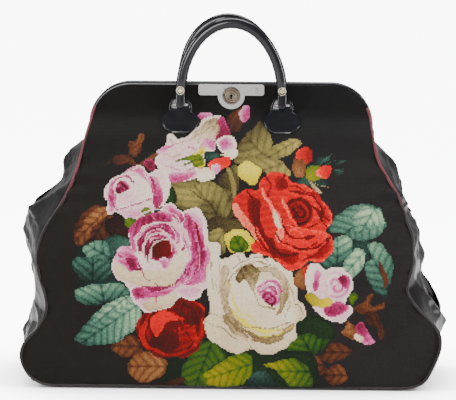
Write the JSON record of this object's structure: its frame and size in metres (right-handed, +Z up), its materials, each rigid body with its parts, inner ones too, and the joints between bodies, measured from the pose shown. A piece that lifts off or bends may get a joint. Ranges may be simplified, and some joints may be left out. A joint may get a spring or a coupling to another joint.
{
  "type": "carpet bag",
  "caption": "Carpet bag with a needlework front, patent-leather gussets, two rolled handles and a hinged steel frame with a turn-key lock.",
  "frame": {"origin": "on the floor, under the middle of the base", "axes": "+X along the frame to the right of the needlework front, +Y to the back, +Z up"},
  "size_m": [0.46, 0.186, 0.3958],
  "materials": {
    "patent_leather": "black patent, glossy",
    "needlework": "wool stitches, matte",
    "black_cloth": "plain wool cloth, matte",
    "piping_cord": "twisted cord",
    "board": "pressed fibre board",
    "lining_cloth": "cotton sateen",
    "core_cord": "twisted cotton cord",
    "steel": "plain pressed steel",
    "nickel": "satin nickel plate",
    "rosette_metal": "darkened nickel silver"
  },
  "bodies": {
    "bag": {"base_panel": "patent_leather", "base_board": "board", "front_panel": "needlework", "back_panel": "black_cloth", "gusset_left": "patent_leather", "gusset_right": "patent_leather", "front_piping": "piping_cord", "back_piping": "piping_cord", "lining": "lining_cloth", "hinge_rivet_left": "steel", "hinge_rivet_right": "steel"},
    "front_frame": {"front_frame_rail": "steel", "front_frame_cover": "patent_leather", "front_panel_top": "needlework", "front_anchor_left": "patent_leather", "front_anchor_right": "patent_leather", "front_loop_left": "nickel", "front_loop_right": "nickel", "lock_plate": "nickel", "lock_rivets": "nickel", "lock_case": "steel"},
    "back_frame": {"back_frame_rail": "steel", "back_frame_cover": "patent_leather", "back_panel_top": "black_cloth", "back_anchor_left": "patent_leather", "back_anchor_right": "patent_leather", "back_loop_left": "nickel", "back_loop_right": "nickel", "catch_tongue": "steel"},
    "front_handle": {"front_handle": "patent_leather", "front_handle_core": "core_cord", "front_handle_studs": "nickel"},
    "back_handle": {"back_handle": "patent_leather", "back_handle_core": "core_cord", "back_handle_studs": "nickel"},
    "key_rosette": {"key_rosette": "rosette_metal"},
    "lock_bolt": {"lock_bolt": "steel"}
  },
  "joints": [
    {"name": "front_frame_open", "type": "hinge", "parent": "bag", "child": "front_frame", "pos_m": [0, 0, 0.271], "axis": [1, 0, 0], "range_deg": [0, 60]},
    {"name": "back_frame_open", "type": "hinge", "parent": "bag", "child": "back_frame", "pos_m": [0, 0, 0.271], "axis": [-1, 0, 0], "range_deg": [0, 60]},
    {"name": "front_handle_swing", "type": "hinge", "parent": "front_frame", "child": "front_handle", "pos_m": [0, -0.01555, 0.3022], "axis": [-1, 0, 0], "range_deg": [-135, 0]},
    {"name": "back_handle_swing", "type": "hinge", "parent": "back_frame", "child": "back_handle", "pos_m": [0, 0.01555, 0.3022], "axis": [1, 0, 0], "range_deg": [-135, 0]},
    {"name": "key_turn", "type": "hinge", "parent": "front_frame", "child": "key_rosette", "pos_m": [0, -0.0095, 0.3125], "axis": [0, 1, 0], "range_deg": [0, 90]},
    {"name": "bolt_slide", "type": "slide", "parent": "front_frame", "child": "lock_bolt", "axis": [1, 0, 0], "range_m": [0, 0.0045]}
  ],
  "couplings": [
    {"joint": "bolt_slide", "follows": "key_turn", "m_per_rad": 0.002864}
  ]
}
